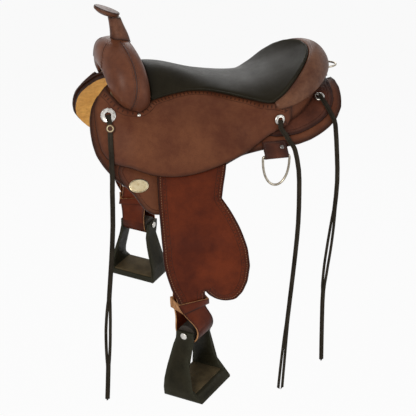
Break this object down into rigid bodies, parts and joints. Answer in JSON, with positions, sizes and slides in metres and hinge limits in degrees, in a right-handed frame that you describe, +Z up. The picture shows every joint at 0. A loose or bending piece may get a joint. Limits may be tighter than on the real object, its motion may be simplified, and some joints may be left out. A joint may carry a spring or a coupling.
{
  "type": "gaited trail saddle",
  "caption": "Western trail saddle with a padded seat, small horn, leather skirts, swinging fenders with stirrups, hinged rings and hanging leather strings.",
  "frame": {"origin": "on the centreline, in the hollow where the saddle rests on the horse's back", "axes": "+X towards the cantle, +Y to the rider's right, +Z up"},
  "size_m": [0.6643, 0.7848, 1.0066],
  "materials": {
    "brown_leather": "satin",
    "dark_brown_leather": "satin",
    "black_leather": "satin",
    "tan_lining": "matte",
    "tree_wood": "matte",
    "bright_steel": "gloss",
    "pale_plate": "satin",
    "stirrup_leather": "satin",
    "tread_rubber": "matte"
  },
  "bodies": {
    "saddle": {"fork_cover": "brown_leather", "horn_neck_cover": "brown_leather", "cantle_roll": "brown_leather", "cantle_back": "brown_leather", "crupper_keeper": "brown_leather", "seat_jockey_left": "brown_leather", "seat_jockey_right": "brown_leather", "rear_jockey_left": "brown_leather", "rear_jockey_right": "brown_leather", "skirt_left": "brown_leather", "skirt_right": "brown_leather", "front_rigging_left": "brown_leather", "front_rigging_right": "brown_leather", "rear_rigging_left": "brown_leather", "rear_rigging_right": "brown_leather", "horn_cap": "dark_brown_leather", "seat_pad": "black_leather", "front_string": "black_leather", "jockey_string": "black_leather", "rear_string": "black_leather", "skirt_lining_left": "tan_lining", "skirt_lining_right": "tan_lining", "tree_fork": "tree_wood", "tree_cantle": "tree_wood", "ground_seat": "tree_wood", "tree_bar_left": "tree_wood", "tree_bar_right": "tree_wood", "rigging_plate_left": "bright_steel", "rigging_plate_right": "bright_steel", "front_concho_left": "bright_steel", "front_concho_right": "bright_steel", "jockey_concho_left": "bright_steel", "jockey_concho_right": "bright_steel", "rear_concho_left": "bright_steel", "rear_concho_right": "bright_steel", "fender_stud_left": "bright_steel", "fender_stud_right": "bright_steel", "oval_plate_left": "pale_plate", "oval_plate_right": "pale_plate"},
    "fender_left": {"fender_left": "dark_brown_leather", "stirrup_strap_left": "brown_leather", "hobble_strap_left": "dark_brown_leather", "buckle_plate_left": "bright_steel", "stirrup_roller_left": "tree_wood"},
    "buckle_sleeve_left": {"buckle_sleeve_left": "bright_steel"},
    "stirrup_left": {"stirrup_left": "stirrup_leather", "stirrup_tread_left": "tread_rubber", "stirrup_bolt_left": "bright_steel"},
    "rear_dee_left": {"rear_dee_left": "bright_steel"},
    "fender_right": {"fender_right": "dark_brown_leather", "stirrup_strap_right": "brown_leather", "hobble_strap_right": "dark_brown_leather", "buckle_plate_right": "bright_steel", "stirrup_roller_right": "tree_wood"},
    "buckle_sleeve_right": {"buckle_sleeve_right": "bright_steel"},
    "stirrup_right": {"stirrup_right": "stirrup_leather", "stirrup_tread_right": "tread_rubber", "stirrup_bolt_right": "bright_steel"},
    "rear_dee_right": {"rear_dee_right": "bright_steel"},
    "crupper_ring": {"crupper_ring": "bright_steel"}
  },
  "joints": [
    {"name": "fender_swing_left", "type": "hinge", "parent": "saddle", "child": "fender_left", "pos_m": [-0.1316, -0.13184, -0.00745], "axis": [0, 0.7034, -0.7108], "range_deg": [-15, 10]},
    {"name": "buckle_slide_left", "type": "slide", "parent": "fender_left", "child": "buckle_sleeve_left", "axis": [0, 0, 1], "range_m": [0, 0.022]},
    {"name": "stirrup_swing_left", "type": "hinge", "parent": "fender_left", "child": "stirrup_left", "pos_m": [-0.1355, -0.30094, -0.462], "axis": [-0.7193, -0.6947, 0], "range_deg": [-20, 20]},
    {"name": "rear_dee_swing_left", "type": "hinge", "parent": "saddle", "child": "rear_dee_left", "pos_m": [0.1, -0.18631, -0.09417], "axis": [-0.9989, 0.047, -0.0075], "range_deg": [-10, 90]},
    {"name": "fender_swing_right", "type": "hinge", "parent": "saddle", "child": "fender_right", "pos_m": [-0.1316, 0.13184, -0.00745], "axis": [0, 0.7034, 0.7108], "range_deg": [-15, 10]},
    {"name": "buckle_slide_right", "type": "slide", "parent": "fender_right", "child": "buckle_sleeve_right", "axis": [0, 0, 1], "range_m": [0, 0.022]},
    {"name": "stirrup_swing_right", "type": "hinge", "parent": "fender_right", "child": "stirrup_right", "pos_m": [-0.1355, 0.30094, -0.462], "axis": [0.7193, -0.6947, 0], "range_deg": [-20, 20]},
    {"name": "rear_dee_swing_right", "type": "hinge", "parent": "saddle", "child": "rear_dee_right", "pos_m": [0.1, 0.18631, -0.09417], "axis": [0.9989, 0.047, 0.0075], "range_deg": [-10, 90]},
    {"name": "crupper_ring_swing", "type": "hinge", "parent": "saddle", "child": "crupper_ring", "pos_m": [0.2725, 0, 0.06], "axis": [0, -1, 0], "range_deg": [0, 18]}
  ]
}
